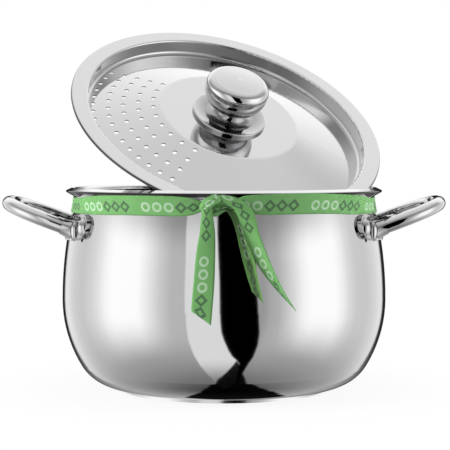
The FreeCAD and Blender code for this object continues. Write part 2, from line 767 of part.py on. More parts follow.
# Knob: saucer, stem, hollow head in two halves, bush, screw and washer
def ring_edges(feature, radius, height):
    """The round edges of one radius at one height, by name."""
    names = []
    for index, edge in enumerate(feature.Shape.Edges, start=1):
        if isinstance(edge.Curve, Part.Circle):
            close = abs(edge.Curve.Radius - radius.value) + abs(edge.Curve.Center.z - height.value)
            if close < wall.value / 2:
                names.append(f"Edge{index}")
    return names


knob_flange = turned(
    "knob_flange",
    Outline(screw_hole, middle_height)
    .line(size("flange_radius"), middle_height)
    .line(size("flange_radius"), flange_top)
    .line(size("flange_flat_radius"), stem_base)
    .line(screw_hole, stem_base),
)
saucer = knob_flange.Tip
document.recompute()
saucer_rounding = knob_flange.newObject("PartDesign::Fillet", "saucer_rounding")
saucer_rounding.Base = (saucer, ring_edges(saucer, size("flange_radius"), flange_top))
bind(saucer_rounding, "Radius", size("flange_edge_radius"))

knob_stem = turned(
    "knob_stem",
    Outline(screw_hole, stem_base)
    .line(size("stem_foot_radius"), stem_base)
    .line(size("stem_foot_radius"), stem_base + size("stem_foot_edge"))
    .arc(size("stem_radius"), bowl_base, size("stem_sweep_radius"), RIGHT)
    .line(screw_hole, bowl_base),
)

knob_bowl = turned(
    "knob_bowl",
    Outline(screw_hole, bowl_base)
    .line(size("stem_radius"), bowl_base)
    .arc(knob_radius, bowl_rim, bowl_round, LEFT)
    .line(knob_radius - knob_gauge, bowl_rim)
    .arc(bowl_floor, bowl_base + knob_gauge, bowl_inner, RIGHT)
    .line(screw_hole, bowl_base + knob_gauge),
)

knob_cap = turned(
    "knob_cap",
    Outline(knob_radius - knob_gauge, cap_base)
    .line(knob_radius, cap_base)
    .line(knob_radius, cap_side)
    .arc(crown_width, cap_shoulder, cap_round, LEFT)
    .arc(0, cap_top, crown_round, LEFT)
    .line(0, cap_shoulder - knob_gauge)
    .line(crown_width, cap_shoulder - knob_gauge)
    .arc(knob_radius - knob_gauge, cap_side, cap_round - knob_gauge, RIGHT),
)

knob_bush = turned(
    "knob_bush",
    Outline(screw_hole, bush_base)
    .line(size("bush_radius"), bush_base)
    .line(size("bush_radius"), bush_top)
    .line(screw_hole, bush_top),
)

knob_washer = turned(
    "knob_washer",
    Outline(screw_hole, washer_base)
    .line(size("washer_radius"), washer_base)
    .line(size("washer_radius"), washer_top)
    .line(screw_hole, washer_top),
)

screw_blank = turned(
    "screw_blank",
    Outline(0, head_base)
    .arc(size("screw_head_radius"), head_base + head_dome, dome_round, LEFT)
    .line(size("screw_head_radius"), washer_base)
    .line(size("screw_radius"), washer_base)
    .line(size("screw_radius"), bush_top)
    .line(0, bush_top),
)
slot = document.addObject("Part::Box", "screw_slot")
bind(slot, "Length", 2 * size("screw_head_radius"))
bind(slot, "Width", size("slot_width"))
bind(slot, "Height", size("slot_depth"))
slot_corner = vector(0 - size("screw_head_radius"), 0 - half(size("slot_width")), head_base)
slot.Placement = FreeCAD.Placement(slot_corner, FreeCAD.Rotation())
knob_screw = difference("knob_screw", screw_blank, slot)


# Lean of the lid: its low edge dips into the mouth until both sides come near the neck
lean = math.radians(size("lid_lean_angle").value)
low = math.radians(size("lid_lean_heading").value)
middle_z = size("rim_height").value + size("lid_rise_share").value * lid_radius.value
down_slope = (middle_z - bend_height.value) / math.sin(lean)
rest_radius = size("mouth_radius").value - size("lid_rest_gap").value
chord = math.sqrt(rest_radius ** 2 - lid_radius.value ** 2 + down_slope ** 2)
slip = chord - down_slope * math.cos(lean)
lean_axis = FreeCAD.Vector(-math.sin(low), math.cos(low), 0)
lid_frame = FreeCAD.Placement(
    vector(slip * math.cos(low), slip * math.sin(low), middle_z),
    FreeCAD.Rotation(lean_axis, size("lid_lean_angle").value),
)
lid_nodes = [strainer_lid, knob_flange, knob_stem, knob_bowl, knob_cap, knob_bush, knob_washer, knob_screw]
for piece in lid_nodes:
    piece.Placement = lid_frame


# Ribbon: a band under the lip, a knot in front and three hanging tails
ribbon_band = turned(
    "ribbon_band",
    Outline(band_wide, band_base)
    .line(band_wide + ribbon_gauge, band_base)
    .line(band_narrow + ribbon_gauge, band_top)
    .line(band_narrow, band_top),
)

band_face = band_wide.value + ribbon_gauge.value
knot_depth = half(size("knot_thickness"))
ribbon_knot = document.addObject("Part::Ellipsoid", "ribbon_knot")
ribbon_knot.Label = "ribbon_knot"
bind(ribbon_knot, "Radius1", half(size("knot_height")))
bind(ribbon_knot, "Radius2", half(size("knot_width")))
bind(ribbon_knot, "Radius3", knot_depth)
knot_out = band_face + size("ribbon_gap").value + knot_depth.value
ribbon_knot.Placement = FreeCAD.Placement(
    vector(size("knot_side"), -knot_out, (band_top.value + band_base.value) / 2), FreeCAD.Rotation()
)

# Each tail by shares: to the side in ribbon widths, and down its own length
tail_shares = {
    "left": ((-0.82, 0.0), (-0.85, 0.2), (-0.9, 0.45), (-1.05, 0.75), (-1.2, 1.0)),
    "middle": ((0.2, 0.0), (0.55, 0.14), (1.15, 0.4), (1.68, 0.7), (2.15, 1.0)),
    "right": ((0.7, 0.0), (1.12, 0.11), (1.66, 0.36), (2.15, 0.6), (3.5, 1.0)),
}


def tail(name, layer):
    """One hanging ribbon end, lofted through strips that lie along the wall."""
    length = size(f"{name}_tail_length").value
    top = size("rim_height").value - size("tail_start").value
    points = []
    for side_share, drop_share in tail_shares[name]:
        height = top - drop_share * length
        reach = max(wall_radius(max(height, belly_height.value)), band_face)
        reach += size("tail_gap").value + layer
        across = side_share * size("ribbon_width").value
        points.append(FreeCAD.Vector(across, -math.sqrt(reach * reach - across * across), height))
    strips = []
    for index, point in enumerate(points):
        before, after = points[max(index - 1, 0)], points[min(index + 1, len(points) - 1)]
        outward = FreeCAD.Vector(point.x, point.y, 0).normalize()
        wide = (after - before).cross(outward).normalize() * (size("ribbon_width").value / 2)
        thick = outward * ribbon_gauge.value
        corners = [point - wide, point + wide, point + wide + thick, point - wide + thick]
        strips.append(Part.makePolygon(corners + corners[:1]))
    feature = document.addObject("Part::Feature", f"ribbon_tail_{name}")
    feature.Label = f"ribbon_tail_{name}"
    feature.Shape = Part.makeLoft(strips, True, False)
    return feature


tails = [tail("left", 0), tail("middle", 0), tail("right", size("tail_layer").value)]

nodes = [pot_shell, base_core, base_cap] + handle_nodes + lid_nodes + [ribbon_band, ribbon_knot] + tails
document.recompute()
for alias, worked_out in derived_names:
    if abs(getattr(derived, alias) - worked_out.value) > wall.value / 1000:
        raise ValueError(f"{alias} differs from its formula")
for feature in document.Objects:
    if "Invalid" in feature.State or "Error" in feature.State:
        raise ValueError(f"{feature.Label} failed")
os.makedirs("parts", exist_ok=True)
for node in nodes:
    if node.Shape.isNull() or not node.Shape.isValid():
        raise ValueError(f"{node.Label} has no sound shape")
    node.Shape.exportStep(f"parts/{node.Label}.step")
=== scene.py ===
"""Dresses the belly pot: mirror polished steel and a tied green ribbon, in a pale studio."""

import math

import bpy
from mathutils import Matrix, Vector


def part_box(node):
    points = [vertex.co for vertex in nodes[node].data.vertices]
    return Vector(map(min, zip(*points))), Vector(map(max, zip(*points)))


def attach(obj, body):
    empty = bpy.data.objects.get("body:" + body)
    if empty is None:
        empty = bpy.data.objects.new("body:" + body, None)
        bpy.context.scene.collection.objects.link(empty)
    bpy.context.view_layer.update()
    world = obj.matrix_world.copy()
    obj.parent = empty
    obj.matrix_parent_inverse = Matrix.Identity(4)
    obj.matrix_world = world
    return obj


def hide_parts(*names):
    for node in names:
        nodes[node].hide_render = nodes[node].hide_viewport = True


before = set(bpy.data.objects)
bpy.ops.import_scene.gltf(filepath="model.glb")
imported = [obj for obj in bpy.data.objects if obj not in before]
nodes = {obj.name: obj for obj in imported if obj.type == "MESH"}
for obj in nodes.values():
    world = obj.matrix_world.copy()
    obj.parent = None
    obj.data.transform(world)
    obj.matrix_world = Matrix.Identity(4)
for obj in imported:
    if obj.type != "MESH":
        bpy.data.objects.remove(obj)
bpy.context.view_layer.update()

MM = 0.001


class Value:
    """One shader socket; each sum made with it adds a Math node."""

    def __init__(self, tree, socket):
        self.tree = tree
        self.socket = socket

    def maths(self, operation, *terms):
        node = self.tree.nodes.new("ShaderNodeMath")
        node.operation = operation
        for socket, term in zip(node.inputs, terms):
            feed(self.tree, socket, term)
        return Value(self.tree, node.outputs[0])

    def __add__(self, other):
        return self.maths("ADD", self, other)

    def __sub__(self, other):
        return self.maths("SUBTRACT", self, other)

    def __rsub__(self, other):
        return self.maths("SUBTRACT", other, self)

    def __mul__(self, other):
        return self.maths("MULTIPLY", self, other)

    def __truediv__(self, other):
        return self.maths("DIVIDE", self, other)

    def __mod__(self, other):
        return self.maths("FLOORED_MODULO", self, other)

    def __pow__(self, other):
        return self.maths("POWER", self, other)

    def __neg__(self):
        return self.maths("MULTIPLY", self, -1)

    def __abs__(self):
        return self.maths("ABSOLUTE", self)

    __radd__ = __add__
    __rmul__ = __mul__


def feed(tree, socket, term):
    """Links a shader value to a socket, or sets the socket's own value."""
    if isinstance(term, Value):
        tree.links.new(term.socket, socket)
    else:
        socket.default_value = term


class Finish:
    """The node tree of a material or of the world."""

    def __init__(self, owner):
        owner.use_nodes = True
        self.tree = owner.node_tree
        self.tree.nodes.clear()

    def node(self, kind, settings=None, sockets=None):
        """Adds a node with its settings, fills its sockets and returns its outputs by name."""
        made = self.tree.nodes.new("ShaderNode" + kind)
        for name, setting in (settings or {}).items():
            if name == "stops":
                lay_stops(made.color_ramp, setting)
            else:
                setattr(made, name, setting)
        for name, term in (sockets or {}).items():
            open_sockets = [s for s in made.inputs if s.enabled and name in (s.name, s.identifier)]
            feed(self.tree, open_sockets[0], term)
        return {s.name: Value(self.tree, s) for s in made.outputs if s.enabled}

    def step(self, value, low, high):
        """A soft step from 0 at low to 1 at high."""
        sockets = {"Value": value, "From Min": low, "From Max": high}
        return self.node("MapRange", {"interpolation_type": "SMOOTHSTEP"}, sockets)["Result"]

    def parts(self, vector):
        """The X, Y and Z of a vector."""
        return self.node("SeparateXYZ", sockets={"Vector": vector})

    def noise(self, where, scale, detail=3.0):
        """Soft patches that follow no pattern."""
        sockets = {"Vector": where, "Scale": scale, "Detail": detail}
        return self.node("TexNoise", sockets=sockets)["Fac"]

    def bump(self, height, strength, distance):
        """A normal tilted by small heights."""
        sockets = {"Strength": strength, "Distance": distance, "Height": height}
        return self.node("Bump", sockets=sockets)["Normal"]

    def laid_over(self, share, under, over):
        """One shader laid over another by share."""
        sockets = {"Fac": share, "Shader": under, "Shader_001": over}
        return self.node("MixShader", sockets=sockets)["Shader"]

    def surface(self, sockets):
        """Ends a material with one main shader."""
        shader = self.node("BsdfPrincipled", sockets=sockets)["BSDF"]
        self.node("OutputMaterial", sockets={"Surface": shader})

    def tint(self, share, plain, marked):
        """A colour that goes from plain to marked with share."""
        sockets = {"Factor": share, "A": plain, "B": marked}
        return self.node("Mix", {"data_type": "RGBA"}, sockets)["Result"]


def lay_stops(ramp, stops):
    """Fills a colour ramp with (place, grey) stops."""
    while len(ramp.elements) > 1:
        ramp.elements.remove(ramp.elements[-1])
    for number, (place, grey) in enumerate(stops):
        stop = ramp.elements[0] if number == 0 else ramp.elements.new(place)
        stop.position = place
        stop.color = (grey, grey, grey, 1)


def linear(shade):
    """The light of a screen shade from 0 to 255."""
    share = shade / 255
    return share / 12.92 if share <= 0.04045 else ((share + 0.055) / 1.055) ** 2.4


WHITE = (1, 1, 1, 1)

# Studio: what the polished steel mirrors, by heading from the front and height above the horizon
STEEL_TONE = 0.62
PLAIN_LIGHT = 0.12
EDGE_BLUR = 0.7
EDGE_SPAN = 90
FLOOR_BLUR = 1.2
FLOOR_DARKNESS = 0.985
RING_DARKNESS = 0.5
STRIP_TONE = 216
STRIP_LOW_TONE = 130
# Tone of the softboxes by heading, of what lies lower by height, of the ceiling from front to back
SIDE_TONES = [
    (-180, 190), (-175, 190), (-172, 30), (-156, 30), (-151, 210), (-144, 217), (-130, 202),
    (-118, 197), (-105, 213), (-97, 230), (-91, 246), (-84, 255), (-62, 254), (-54, 233),
    (-45, 203), (-37, 182), (0, 176), (27, 150), (32, 168), (38, 176), (50, 220), (56, 243),
    (63, 254), (84, 254), (91, 240), (97, 220), (106, 202), (119, 198), (143, 215), (149, 210),
    (154, 30), (180, 30),
]
LOW_TONES = [
    (-90, 50), (-75, 88), (-65, 114), (-55, 136), (-45, 153), (-35, 165), (-25, 175), (0, 190),
]
SKY_TONES = [
    (-1, 160), (-0.7, 175), (-0.57, 185), (-0.42, 193), (-0.26, 198), (0, 203), (0.1, 208),
    (0.26, 213), (0.42, 221), (0.57, 229), (0.7, 239), (0.85, 244), (1, 246),
]
# Height under which the floor is dark, by heading
DARK_FLOOR = [
    (-180, -33), (-173, -40), (-169, -51), (-162, -64), (-151, -73.5), (-125, -80.7),
    (-72, -82), (-45, -79.5), (-22, -75), (-10, -66.5), (-2.4, -63.2), (2.6, -59.1),
    (6.2, -55.1), (9.1, -51.1), (11.4, -47.2), (21, -60), (28.5, -65.3), (40, -70), (55, -73.5),
    (93, -74.5), (115, -72.5), (135, -68.4), (149, -60.7), (161, -51.2), (171, -35.3),
    (180, -33),
]
# Heading of the left edge of the pale strip and of both edges of the black gap, by height
STRIP_LEFT = [
    (-90, -5), (-66.8, -13), (-61.8, -18.3), (-51.6, -22.9), (-42, -24.8), (-28.7, -25.6),
    (-20, -25.5), (-11.8, -25.9), (-2, -26.9), (10, -26.7), (20, -27.9), (90, -30),
]
GAP_LEFT = [
    (-90, 20), (-50, 14), (-47.2, 11.4), (-43.5, 6.9), (-38, 3.6), (-28.9, 0), (-21.9, -1.8),
    (-12, -2.5), (4.3, -3.1), (10.6, -3.8), (19.3, -4.7), (90, -5.5),
]
GAP_RIGHT = [
    (-90, 19), (-62.7, 20.4), (-55.6, 21.6), (-50.6, 22.6), (-43.9, 24.8), (-33, 25.8),
    (-22.7, 25.5), (-12.5, 24.1), (-3.6, 23.3), (0, 22.3), (90, 22),
]


def along_ramp(pairs, low, high, reading):
    """Ramp stops with their places spread from 0 to 1."""
    return [((place - low) / (high - low), reading(value)) for place, value in pairs]


def studio(world):
    """White to the eye, a plain soft light on cloth, and softboxes with a dark gap on steel."""
    finish = Finish(world)
    path = finish.node("LightPath")
    look = finish.parts(finish.node("TexCoord")["Generated"])
    degree = math.degrees(1)
    heading = look["X"].maths("ARCTAN2", look["X"], -look["Y"]) * degree
    height = look["Z"].maths("ARCSINE", look["Z"]) * degree

    def tones(place, stops):
        return finish.node("ValToRGB", {"stops": stops}, {"Fac": place})["Color"]

    def between(first, second, share):
        return first + (second - first) * share

    def past_edge(pairs):
        stops = along_ramp(pairs, -90, 90, lambda angle: angle / EDGE_SPAN + 0.5)
        edge = tones((height + 90) / 180, stops) * EDGE_SPAN - EDGE_SPAN / 2
        return finish.step(heading - edge, -EDGE_BLUR, EDGE_BLUR)

    def light(colour, strength):
        sockets = {"Color": colour, "Strength": strength}
        return finish.node("Background", sockets=sockets)["Background"]

    around = (heading + 180) / 360
    side = tones(around, along_ramp(SIDE_TONES, -180, 180, linear))
    low = tones((height + 90) / 90, along_ramp(LOW_TONES, -90, 0, linear))
    sky = tones((look["Y"] + 1) / 2, along_ramp(SKY_TONES, -1, 1, linear))
    floor_stops = along_ramp(DARK_FLOOR, -180, 180, lambda angle: -angle / 90)
    floor_edge = tones(around, floor_stops) * -90
    dark_floor = finish.step(floor_edge - height, -FLOOR_BLUR, FLOOR_BLUR)
    # Dark ring above the softboxes, open at the back
    facing = 1 - finish.step(abs(heading), 112, 140)
    ring = 1 - finish.step(height, 32, 62)
    high = sky * (1 - RING_DARKNESS * ring * facing)
    # Black gap between the softboxes, beside a pale strip
    past_gap = past_edge(GAP_LEFT)
    strip = past_edge(STRIP_LEFT) * (1 - past_gap) * (1 - finish.step(height, 14, 34))
    gap = past_gap * (1 - past_edge(GAP_RIGHT))
    gap = gap * (1 - finish.step(height + heading * 0.33, 25.6, 26.6))
    strip_tone = between(linear(STRIP_TONE), linear(STRIP_LOW_TONE), finish.step(height, -44, -70))
    bright = between(side, low, finish.step(height, -8, -45))
    bright = between(bright, high, finish.step(height, 10, 27))
    bright = between(bright, strip_tone, strip)
    bright = bright * (1 - gap) * (1 - FLOOR_DARKNESS * dark_floor)
    to_eye = path["Is Camera Ray"]
    seen = to_eye.maths("MAXIMUM", to_eye, path["Is Transmission Ray"])
    # Brighter by what the steel swallows
    mirrored = light(bright, 1 / STEEL_TONE)
    lit = finish.laid_over(path["Is Glossy Ray"], light(WHITE, PLAIN_LIGHT), mirrored)
    shown = finish.laid_over(seen, lit, light(WHITE, 1))
    finish.node("OutputWorld", sockets={"Surface": shown})


def floor_paper():
    """White paper that keeps a faint shadow near the pot and fades into the background."""
    paper = bpy.data.materials.new("floor_paper")
    finish = Finish(paper)
    place = finish.parts(finish.node("TexCoord")["Object"])
    reach = (place["X"] ** 2 + place["Y"] ** 2) ** 0.5
    to_eye = finish.node("LightPath")["Is Camera Ray"]
    lit = finish.node("BsdfDiffuse", sockets={"Color": (0.9, 0.9, 0.9, 1)})["BSDF"]
    white = finish.node("Emission", sockets={"Color": WHITE, "Strength": 1})["Emission"]
    cover = 0.9 + finish.step(reach, 0.08, 0.2) * 0.1
    finish.node("OutputMaterial", sockets={"Surface": finish.laid_over(to_eye * cover, lit, white)})
    return paper


def soft_lamp(name, place, aim, size, power):
    """A square soft lamp that only the cloth and the floor answer to."""
    light = bpy.data.lights.new(name, "AREA")
    light.shape = "SQUARE"
    light.size = size
    light.energy = power
    lamp = bpy.data.objects.new(name, light)
    bpy.context.scene.collection.objects.link(lamp)
    lamp.location = place
    lamp.rotation_euler = (Vector(aim) - Vector(place)).to_track_quat("-Z", "Y").to_euler()
    lamp.visible_camera = False
    lamp.visible_glossy = False


# Finishes of the metal pieces
# Painted shade: the near-black steel colour laid where shade and dark reflections fall
PAINTED_SHADE_STEEL = (0.02, 0.018, 0.016, 1)
LINE_RELIEF = 0.0001


def axis_turn(low_node, high_node):
    """A turned piece's axis from two pieces on it: a point, its lean and its direction."""
    low = sum(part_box(low_node), Vector()) / 2
    high = sum(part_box(high_node), Vector()) / 2
    along = (high - low).normalized()
    return low, Vector((0, 0, 1)).rotation_difference(along).to_euler(), along


def shaded(tint, share):
    """A tint and a darker share of it, as two full colours."""
    return tint + (1,), tuple(share * part for part in tint) + (1,)


def polished(finish, colour, gloss, lines, line_depth):
    """Bare metal whose fine lines stand a little proud."""
    finish.surface({
        "Base Color": colour,
        "Metallic": 1.0,
        "Roughness": gloss,
        "Normal": finish.bump(lines, line_depth, LINE_RELIEF),
    })


def turned_steel(name, tint, shine, line_width, line_depth, axis=None, painted_shade=None):
    """Polished steel with fine lines round an axis, a faint uneven gloss and painted shade where
    given.
    """
    material = bpy.data.materials.new(name)
    finish = Finish(material)
    where = finish.node("TexCoord")["Object"]
    if axis:
        stand = {"Vector": where, "Location": axis[0], "Rotation": axis[1]}
        where = finish.node("Mapping", {"vector_type": "TEXTURE"}, stand)["Vector"]
    place = finish.parts(where)
    reach = (place["X"] ** 2 + place["Y"] ** 2) ** 0.5
    turn = place["X"].maths("ARCTAN2", place["X"], place["Y"])
    fine = 1 / line_width
    thread = {"X": reach * fine, "Y": place["Z"] * fine, "Z": turn * 1.5}
    lines = finish.noise(finish.node("CombineXYZ", sockets=thread)["Vector"], 1.0)
    cloud = finish.noise(where, 22.0)
    gloss = shine * (0.72 + 0.3 * lines + 0.28 * cloud)
    colour = finish.tint(lines * 0.5 + cloud * 0.5, *shaded(tint, 0.96))
    # Painted shade blended into the steel's colour where the given function marks it
    if painted_shade:
        colour = finish.tint(painted_shade(finish, reach, place["Z"]), colour, PAINTED_SHADE_STEEL)
    polished(finish, colour, gloss, lines, line_depth)
    return material


def drawn_steel(name, tint, shine, line_depth, painted_shade):
    """Polished bar and fittings with short lines, a faint uneven gloss and painted shade where
    given.
    """
    material = bpy.data.materials.new(name)
    finish = Finish(material)
    where = finish.node("TexCoord")["Object"]
    stretch = {"Vector": where, "Scale": (60, 60, 2600)}
    lines = finish.noise(finish.node("Mapping", sockets=stretch)["Vector"], 1.0)
    cloud = finish.noise(where, 60.0)
    gloss = shine * (0.7 + 0.3 * lines + 0.3 * cloud)
    colour = finish.tint(cloud, *shaded(tint, 0.95))
    # Painted shade blended into the steel's colour where the given function marks it
    colour = finish.tint(painted_shade(finish), colour, PAINTED_SHADE_STEEL)
    polished(finish, colour, gloss, lines, line_depth)
    return material


# Ribbon print, in ribbon widths: a run of rings, then a run of diamonds up to the second mark
PRINT_REPEAT = 4.2
RINGS_END = 1.8
DIAMONDS_END = 3.6
RUN_BLUR = 0.005
MARK_SPACING = 0.6
PRINT_HEIGHT = 0.44
RING_SIZE = 0.19
DIAMOND_SIZE = 0.23
PALE_INK = (0.55, 0.72, 0.55, 1)
DARK_INK = (0.045, 0.075, 0.055, 1)
KNOT_SHADOW_TONE = (0.012, 0.024, 0.008, 1)
TWILL_COUNT = 10
WEFT_COUNT = 22
WEAVE_RELIEF = 0.00012


def ribbon_weave(name, plain, raised, knot_shadow=None):
    """Green woven ribbon, with a painted shadow of the knot near its start if asked. Its UV map
    counts ribbon widths along it.
    """
    material = bpy.data.materials.new(name)
    finish = Finish(material)
    threads = finish.parts(finish.node("TexCoord")["UV"])
    along = threads["X"]
    across = threads["Y"]

    def ridges(place, count):
        return along.maths("SINE", place * 2 * math.pi * count) * 0.5 + 0.5

    def run_past(mark):
        return finish.step(repeat, mark - RUN_BLUR, mark + RUN_BLUR)

    twill = ridges(along + across, TWILL_COUNT)
    weft = ridges(along - across * 0.35, WEFT_COUNT)
    weave = twill * 0.6 + weft * 0.4
    from_edge = 0.5 - abs(across - 0.5)
    selvedge = 1 - finish.step(from_edge, 0.035, 0.06)
    cloud = finish.noise(finish.node("TexCoord")["Object"], 160.0, 4.0)
    repeat = along % PRINT_REPEAT
    beside = (repeat % MARK_SPACING) - MARK_SPACING / 2
    above = across - PRINT_HEIGHT
    ring = 1 - finish.step(abs((beside ** 2 + above ** 2) ** 0.5 - RING_SIZE), 0.045, 0.07)
    diamond = 1 - finish.step(abs(abs(beside) + abs(above) - DIAMOND_SIZE), 0.065, 0.095)
    past_rings = run_past(RINGS_END)
    rings = ring * (1 - past_rings)
    diamonds = diamond * past_rings * (1 - run_past(DIAMONDS_END))
    worn = 0.7 + 0.3 * weave
    green = finish.tint(weave * 0.35 + cloud * 0.65, plain + (1,), raised + (1,))
    green = finish.tint(selvedge * 0.4, green, plain + (1,))
    green = finish.tint(rings * worn * 0.7, green, PALE_INK)
    green = finish.tint(diamonds * worn * 0.9, green, DARK_INK)
    # Painted shadow of the knot, darkest at the start of the strip and fading along it
    if knot_shadow:
        green = finish.tint((1 - finish.step(along, *knot_shadow)) * 0.72, green, KNOT_SHADOW_TONE)
    finish.surface({
        "Base Color": green,
        "Roughness": 0.52 + 0.2 * weave,
        "Normal": finish.bump(weave * 0.8 + selvedge * 0.6, 0.22, WEAVE_RELIEF),
        "Sheen Weight": 0.12,
        "Sheen Roughness": 0.4,
        "Specular IOR Level": 0.35,
    })
    return material


def dress(material, *names):
    """Gives CAD pieces their finish."""
    for name in names:
        mesh = nodes[name].data
        mesh.materials.clear()
        mesh.materials.append(material)


def lip_painted_shade(finish, reach, height):
    """Painted shade and dark reflection under the turned outer edge of the pot's lip."""
    outside = finish.step(reach, 112.5 * MM, 114 * MM)
    over_neck = finish.step(height, 142.6 * MM, 143.2 * MM)
    under_edge = finish.step(height, 146.7 * MM, 145.8 * MM)
    return outside * over_neck * under_edge * 0.97


def painted_crevice_shade(finish, *place):
    """Painted shade in narrow places between pieces, darker the more closed in they are."""
    open_share = finish.node("AmbientOcclusion", {"samples": 8}, {"Distance": 14 * MM})["AO"]
    return (1 - open_share) * 0.9


def lid_painted_shade(finish, reach, height):
    """Painted shade on the lid's cut rim and on the punched walls of its drain holes."""
    facing = finish.node("VectorMath", {"operation": "DOT_PRODUCT"}, {
        "Vector": finish.node("NewGeometry")["True Normal"],
        "Vector_001": lid_axis[2],
    })["Value"]
    upright = 1 - finish.step(abs(facing), 0.4, 0.6)
    past_middle = finish.step(reach, 40 * MM, 42 * MM)
    past_holes = finish.step(reach, 99 * MM, 99.5 * MM)
    holes = upright * past_middle * (1 - past_holes)
    rim = finish.step(reach, 115.6 * MM, 116.3 * MM)
    return holes.maths("MAXIMUM", holes * 0.85, rim * 0.9)


lid_axis = axis_turn("knob_washer", "knob_bush")
MIRROR_TINT = (0.62, 0.62, 0.625)
BRUSHED_TINT = (0.6, 0.6, 0.605)
FITTING_TINT = (0.61, 0.61, 0.615)
ALUMINIUM_TINT = (0.82, 0.83, 0.84)
knob_parts = ("flange", "stem", "bowl", "cap", "bush", "washer", "screw")
knob_pieces = [f"knob_{part}" for part in knob_parts]
handle_pieces = ["right_handle_bar", "left_handle_bar"]
handle_pieces += [
    f"{side}_{end}_{piece}"
    for side in ("right", "left")
    for end in ("front", "rear")
    for piece in ("foot", "bead", "ferrule")
]
# Each turned finish: tint, gloss, width and depth of its lines, axis, painted shade and its pieces
turned_finishes = {
    "pot_mirror_steel": (MIRROR_TINT, 0.05, 0.00045, 0.012, None, lip_painted_shade, ["pot_shell"]),
    "base_brushed_steel": (BRUSHED_TINT, 0.16, 0.0003, 0.06, None, None, ["base_cap"]),
    "core_brushed_aluminium": (ALUMINIUM_TINT, 0.32, 0.0004, 0.1, None, None, ["base_core"]),
    "lid_mirror_steel": (MIRROR_TINT, 0.06, 0.0005, 0.012, lid_axis, lid_painted_shade, ["strainer_lid"]),
    "knob_turned_steel": (FITTING_TINT, 0.07, 0.00035, 0.02, lid_axis, painted_crevice_shade, knob_pieces),
}
for finish_name, (*look, pieces) in turned_finishes.items():
    dress(turned_steel(finish_name, *look), *pieces)
dress(drawn_steel("handle_polished_steel", FITTING_TINT, 0.06, 0.02, painted_crevice_shade), *handle_pieces)


# Ribbon: a band under the lip, a gathered knot and three hanging ends, all of one width
RIBBON_WIDTH = 14.3 * MM
RIBBON_GAUGE = 0.3 * MM
# The pot's wall, on which the ribbon lies
BELLY_RADIUS = 119.0 * MM
BELLY_HEIGHT = 66.5 * MM
NECK_RADIUS = 110.0 * MM
NECK_HEIGHT = 139.5 * MM
NECK_BLEND = 22.0 * MM
LOWER_ARC = 88.6 * MM


def wall_radius(height):
    """Outer radius of the pot's wall at a height above the hob."""
    if height >= NECK_HEIGHT:
        return NECK_RADIUS
    bulge = BELLY_RADIUS - NECK_RADIUS
    rise = NECK_HEIGHT - BELLY_HEIGHT
    reach = (bulge ** 2 + rise ** 2) / (2 * bulge)
    upper_arc = reach - NECK_BLEND
    blend_start = BELLY_HEIGHT + upper_arc * rise / reach
    if height >= blend_start:
        return NECK_RADIUS + NECK_BLEND - math.sqrt(NECK_BLEND ** 2 - (NECK_HEIGHT - height) ** 2)
    arc = upper_arc if height >= BELLY_HEIGHT else LOWER_ARC
    return BELLY_RADIUS - arc + math.sqrt(arc ** 2 - (height - BELLY_HEIGHT) ** 2)


def through(stations, share):
    """A smooth row of numbers through the stations, at a share from 0 to 1 of the way."""
    place = min(max(share, 0), 1) * (len(stations) - 1)
    first = min(int(place), len(stations) - 2)
    rest = place - first
    last = len(stations) - 1
    rows = [stations[min(max(first + offset, 0), last)] for offset in (-1, 0, 1, 2)]
    weights = (
        -0.5 * rest + rest ** 2 - 0.5 * rest ** 3,
        1 - 2.5 * rest ** 2 + 1.5 * rest ** 3,
        0.5 * rest + 2 * rest ** 2 - 1.5 * rest ** 3,
        -0.5 * rest ** 2 + 0.5 * rest ** 3,
    )
    columns = range(len(rows[0]))
    return [sum(weight * row[column] for weight, row in zip(weights, rows)) for column in columns]


def at_wall(side, height, stand):
    """A point in front of the wall, from millimetres."""
    reach = wall_radius(height * MM) + stand * MM
    return Vector((side * MM, -math.sqrt(reach ** 2 - (side * MM) ** 2), height * MM))


def strip_point(stations, share, across):
    """A point of a strip: share along it, across from -1 at its first edge to 1 at its second."""
    numbers = through(stations, share)
    first = at_wall(*numbers[:3])
    second = at_wall(*numbers[3:6])
    middles = []
    for step in (-0.02, 0.02):
        near = through(stations, share + step)
        middles.append((at_wall(*near[:3]) + at_wall(*near[3:6])) / 2)
    proud = (middles[1] - middles[0]).cross(second - first).normalized()
    return first.lerp(second, (across + 1) / 2) + proud * (numbers[6] * MM * (1 - across ** 2))


def strip_grid(stations, rows, columns):
    """Rows of points down a strip."""
    places = [2 * column / columns - 1 for column in range(columns + 1)]
    shares = [row / rows for row in range(rows + 1)]
    return [[strip_point(stations, share, across) for across in places] for share in shares]


def ribbon_mesh(name, grids, starts, weave):
    """One ribbon piece from grids of points, with a UV map in ribbon widths."""
    points = []
    faces = []
    marks = []
    for grid, start in zip(grids, starts):
        first = len(points)
        columns = len(grid[0])
        along = start
        for number, line in enumerate(grid):
            if number:
                along += (line[columns // 2] - grid[number - 1][columns // 2]).length / RIBBON_WIDTH
            points += line
            marks += [(along, column / (columns - 1)) for column in range(columns)]
        for row in range(len(grid) - 1):
            for column in range(columns - 1):
                corner = first + row * columns + column
                faces.append((corner, corner + columns, corner + columns + 1, corner + 1))
    mesh = bpy.data.meshes.new(name)
    mesh.from_pydata(points, [], faces)
    chart = mesh.uv_layers.new(name="ribbon_uv")
    for loop in mesh.loops:
        chart.data[loop.index].uv = marks[loop.vertex_index]
    mesh.shade_smooth()
    piece = bpy.data.objects.new(name, mesh)
    bpy.context.scene.collection.objects.link(piece)
    gauge = piece.modifiers.new("ribbon gauge", "SOLIDIFY")
    gauge.thickness = RIBBON_GAUGE
    gauge.offset = 0
    mesh.materials.append(weave)
    return piece


